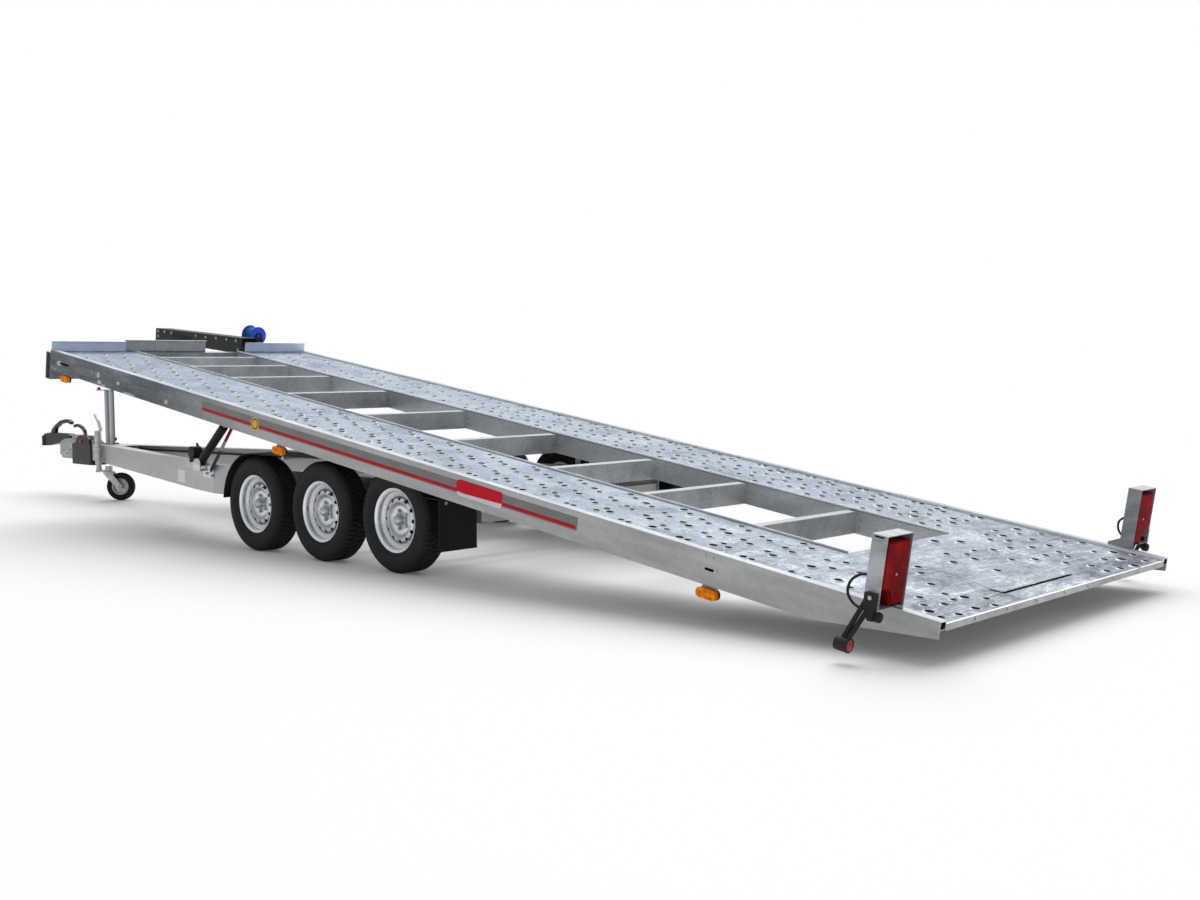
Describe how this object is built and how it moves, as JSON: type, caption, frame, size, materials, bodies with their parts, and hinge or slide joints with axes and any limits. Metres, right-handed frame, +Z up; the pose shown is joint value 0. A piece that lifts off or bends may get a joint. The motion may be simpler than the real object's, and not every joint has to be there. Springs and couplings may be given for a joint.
{
  "type": "tri-axle tilt bed car transporter trailer",
  "caption": "Low car transporter trailer with a long galvanised bed that tilts on its axles, open between two perforated tracks, with a winch boom and an A-frame drawbar",
  "frame": {"origin": "centre of the bounding box, on the level ground the wheels stand on", "axes": "+X forward to the coupling, +Y to the trailer's left, +Z up"},
  "size_m": [10.909, 2.945, 1.6359],
  "materials": {
    "galvanised_steel": "hot dip galvanised, bluish grey with bright edges",
    "zinc_plate": "bright zinc plate",
    "polished_steel": "ground hydraulic rod",
    "silver_paint": "silver paint",
    "black_paint": "semi-gloss black paint",
    "blue_paint": "blue paint",
    "black_plastic": "black moulded plastic",
    "red_lens": "clear red lens",
    "amber_lens": "clear amber lens",
    "tyre_rubber": "black rubber",
    "grey_rubber": "grey solid rubber",
    "black_rubber": "black rubber"
  },
  "bodies": {
    "chassis": {"axle_arms": "galvanised_steel", "axle_saddles": "galvanised_steel", "axle_tubes": "galvanised_steel", "bed_buffers": "black_rubber", "brake_drums": "galvanised_steel", "chassis_beams": "galvanised_steel", "chassis_crossmembers": "galvanised_steel", "coupling_handle": "black_paint", "coupling_head": "black_paint", "cylinder_brackets": "galvanised_steel", "drawbar_arms": "galvanised_steel", "drawbar_nose": "galvanised_steel", "handbrake_lever": "black_paint", "hydraulic_pump": "black_paint", "jockey_crank": "zinc_plate", "jockey_tube": "zinc_plate", "mud_flaps": "black_rubber", "mudguard_stays": "galvanised_steel", "mudguards": "black_plastic", "nose_cover": "black_plastic", "overrun_shaft": "zinc_plate", "winch_post": "galvanised_steel"},
    "bed": {"side_beams": "galvanised_steel", "front_channel": "galvanised_steel", "track_plates": "galvanised_steel", "tail_plate": "galvanised_steel", "inner_rails": "galvanised_steel", "cross_members": "galvanised_steel", "headboards": "galvanised_steel", "winch_boom": "black_paint", "winch": "blue_paint", "lamp_brackets": "galvanised_steel", "tail_lamps": "red_lens", "outline_lamps": "black_rubber", "side_markers": "amber_lens", "lamp_leads": "black_rubber", "cylinder_clevises": "galvanised_steel"},
    "jockey_leg": {"jockey_leg": "zinc_plate"},
    "jockey_castor": {"jockey_fork": "zinc_plate"},
    "jockey_wheel": {"jockey_tyre": "grey_rubber", "jockey_rim": "zinc_plate"},
    "wheel_front_left": {"tyre_front_left": "tyre_rubber", "rim_front_left": "silver_paint"},
    "wheel_front_right": {"tyre_front_right": "tyre_rubber", "rim_front_right": "silver_paint"},
    "wheel_middle_left": {"tyre_middle_left": "tyre_rubber", "rim_middle_left": "silver_paint"},
    "wheel_middle_right": {"tyre_middle_right": "tyre_rubber", "rim_middle_right": "silver_paint"},
    "wheel_rear_left": {"tyre_rear_left": "tyre_rubber", "rim_rear_left": "silver_paint"},
    "wheel_rear_right": {"tyre_rear_right": "tyre_rubber", "rim_rear_right": "silver_paint"},
    "barrel_left": {"cylinder_barrel_left": "black_paint"},
    "rod_left": {"cylinder_rod_left": "polished_steel", "lock_arm_left": "galvanised_steel"},
    "barrel_right": {"cylinder_barrel_right": "black_paint"},
    "rod_right": {"cylinder_rod_right": "polished_steel", "lock_arm_right": "galvanised_steel"}
  },
  "joints": [
    {"name": "wheel_front_left_turn", "type": "hinge", "parent": "chassis", "child": "wheel_front_left", "pos_m": [-0.27952, 1.076, 0.32], "axis": [0, 1, 0], "continuous": true},
    {"name": "wheel_front_right_turn", "type": "hinge", "parent": "chassis", "child": "wheel_front_right", "pos_m": [-0.27952, -1.076, 0.32], "axis": [0, 1, 0], "continuous": true},
    {"name": "wheel_middle_left_turn", "type": "hinge", "parent": "chassis", "child": "wheel_middle_left", "pos_m": [-1.03551, 1.076, 0.32], "axis": [0, 1, 0], "continuous": true},
    {"name": "wheel_middle_right_turn", "type": "hinge", "parent": "chassis", "child": "wheel_middle_right", "pos_m": [-1.03551, -1.076, 0.32], "axis": [0, 1, 0], "continuous": true},
    {"name": "wheel_rear_left_turn", "type": "hinge", "parent": "chassis", "child": "wheel_rear_left", "pos_m": [-1.79151, 1.076, 0.32], "axis": [0, 1, 0], "continuous": true},
    {"name": "wheel_rear_right_turn", "type": "hinge", "parent": "chassis", "child": "wheel_rear_right", "pos_m": [-1.79151, -1.076, 0.32], "axis": [0, 1, 0], "continuous": true},
    {"name": "bed_tilt", "type": "hinge", "parent": "chassis", "child": "bed", "pos_m": [-1.93552, 0, 0.44], "axis": [0, 1, 0], "range_deg": [-1.6, 7.9]},
    {"name": "cylinder_left_swing", "type": "hinge", "parent": "chassis", "child": "barrel_left", "pos_m": [0.89448, 0.87, 0.535], "axis": [0, 1, 0], "range_deg": [-26.38, 5.44]},
    {"name": "cylinder_left_stroke", "type": "slide", "parent": "barrel_left", "child": "rod_left", "axis": [-0.7771, 0, 0.6294], "range_m": [-0.1913, 0.0395]},
    {"name": "cylinder_right_swing", "type": "hinge", "parent": "chassis", "child": "barrel_right", "pos_m": [0.89448, -0.87, 0.535], "axis": [0, 1, 0], "range_deg": [-26.38, 5.44]},
    {"name": "cylinder_right_stroke", "type": "slide", "parent": "barrel_right", "child": "rod_right", "axis": [-0.7771, 0, 0.6294], "range_m": [-0.1913, 0.0395]},
    {"name": "jockey_extend", "type": "slide", "parent": "chassis", "child": "jockey_leg", "axis": [0, 0, -1], "range_m": [-0.02, 0.15]},
    {"name": "jockey_swivel", "type": "hinge", "parent": "jockey_leg", "child": "jockey_castor", "pos_m": [3.94048, 0.175, 0.296], "axis": [0, 0, 1], "continuous": true},
    {"name": "jockey_wheel_turn", "type": "hinge", "parent": "jockey_castor", "child": "jockey_wheel", "pos_m": [3.79154, 0.03415, 0.13], "axis": [-0.6871, 0.7266, 0], "continuous": true}
  ],
  "couplings": [
    {"joint": "cylinder_left_swing", "follows": "bed_tilt", "ratio": -3.3227},
    {"joint": "cylinder_left_stroke", "follows": "bed_tilt", "m_per_rad": -1.3805},
    {"joint": "cylinder_right_swing", "follows": "bed_tilt", "ratio": -3.3227},
    {"joint": "cylinder_right_stroke", "follows": "bed_tilt", "m_per_rad": -1.3805}
  ]
}
